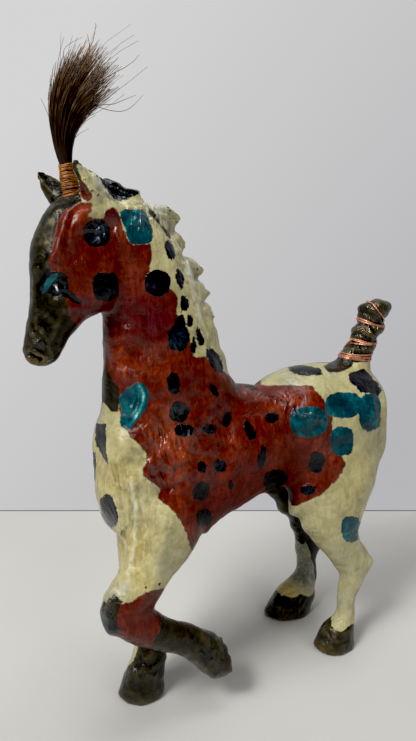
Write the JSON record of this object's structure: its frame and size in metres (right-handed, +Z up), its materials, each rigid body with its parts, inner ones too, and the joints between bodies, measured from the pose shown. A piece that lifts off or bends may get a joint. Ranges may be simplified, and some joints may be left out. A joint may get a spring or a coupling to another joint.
{
  "type": "bronze horse sculpture",
  "caption": "Painted bronze horse standing on three hooves with one foreleg raised, a bound horse-hair plume on its poll and wire wound round its short tail.",
  "frame": {"origin": "middle of the bounding box on the surface that the three standing hooves rest on", "axes": "+Z up, the horse faces -X, its left side is -Y"},
  "size_m": [0.2314, 0.0704, 0.3394],
  "materials": {
    "painted_bronze": "cast bronze with brushed semi-gloss enamel in red, cream, navy and teal over dark patina",
    "horse_hair": "dark brown horse hair",
    "copper_thread": "waxed copper-coloured thread, close wound",
    "copper_wire": "soft bare copper wire"
  },
  "bodies": {
    "root": {"horse_body": "painted_bronze", "plume": "horse_hair", "plume_binding": "copper_thread", "tail_binding": "copper_wire"}
  },
  "joints": []
}
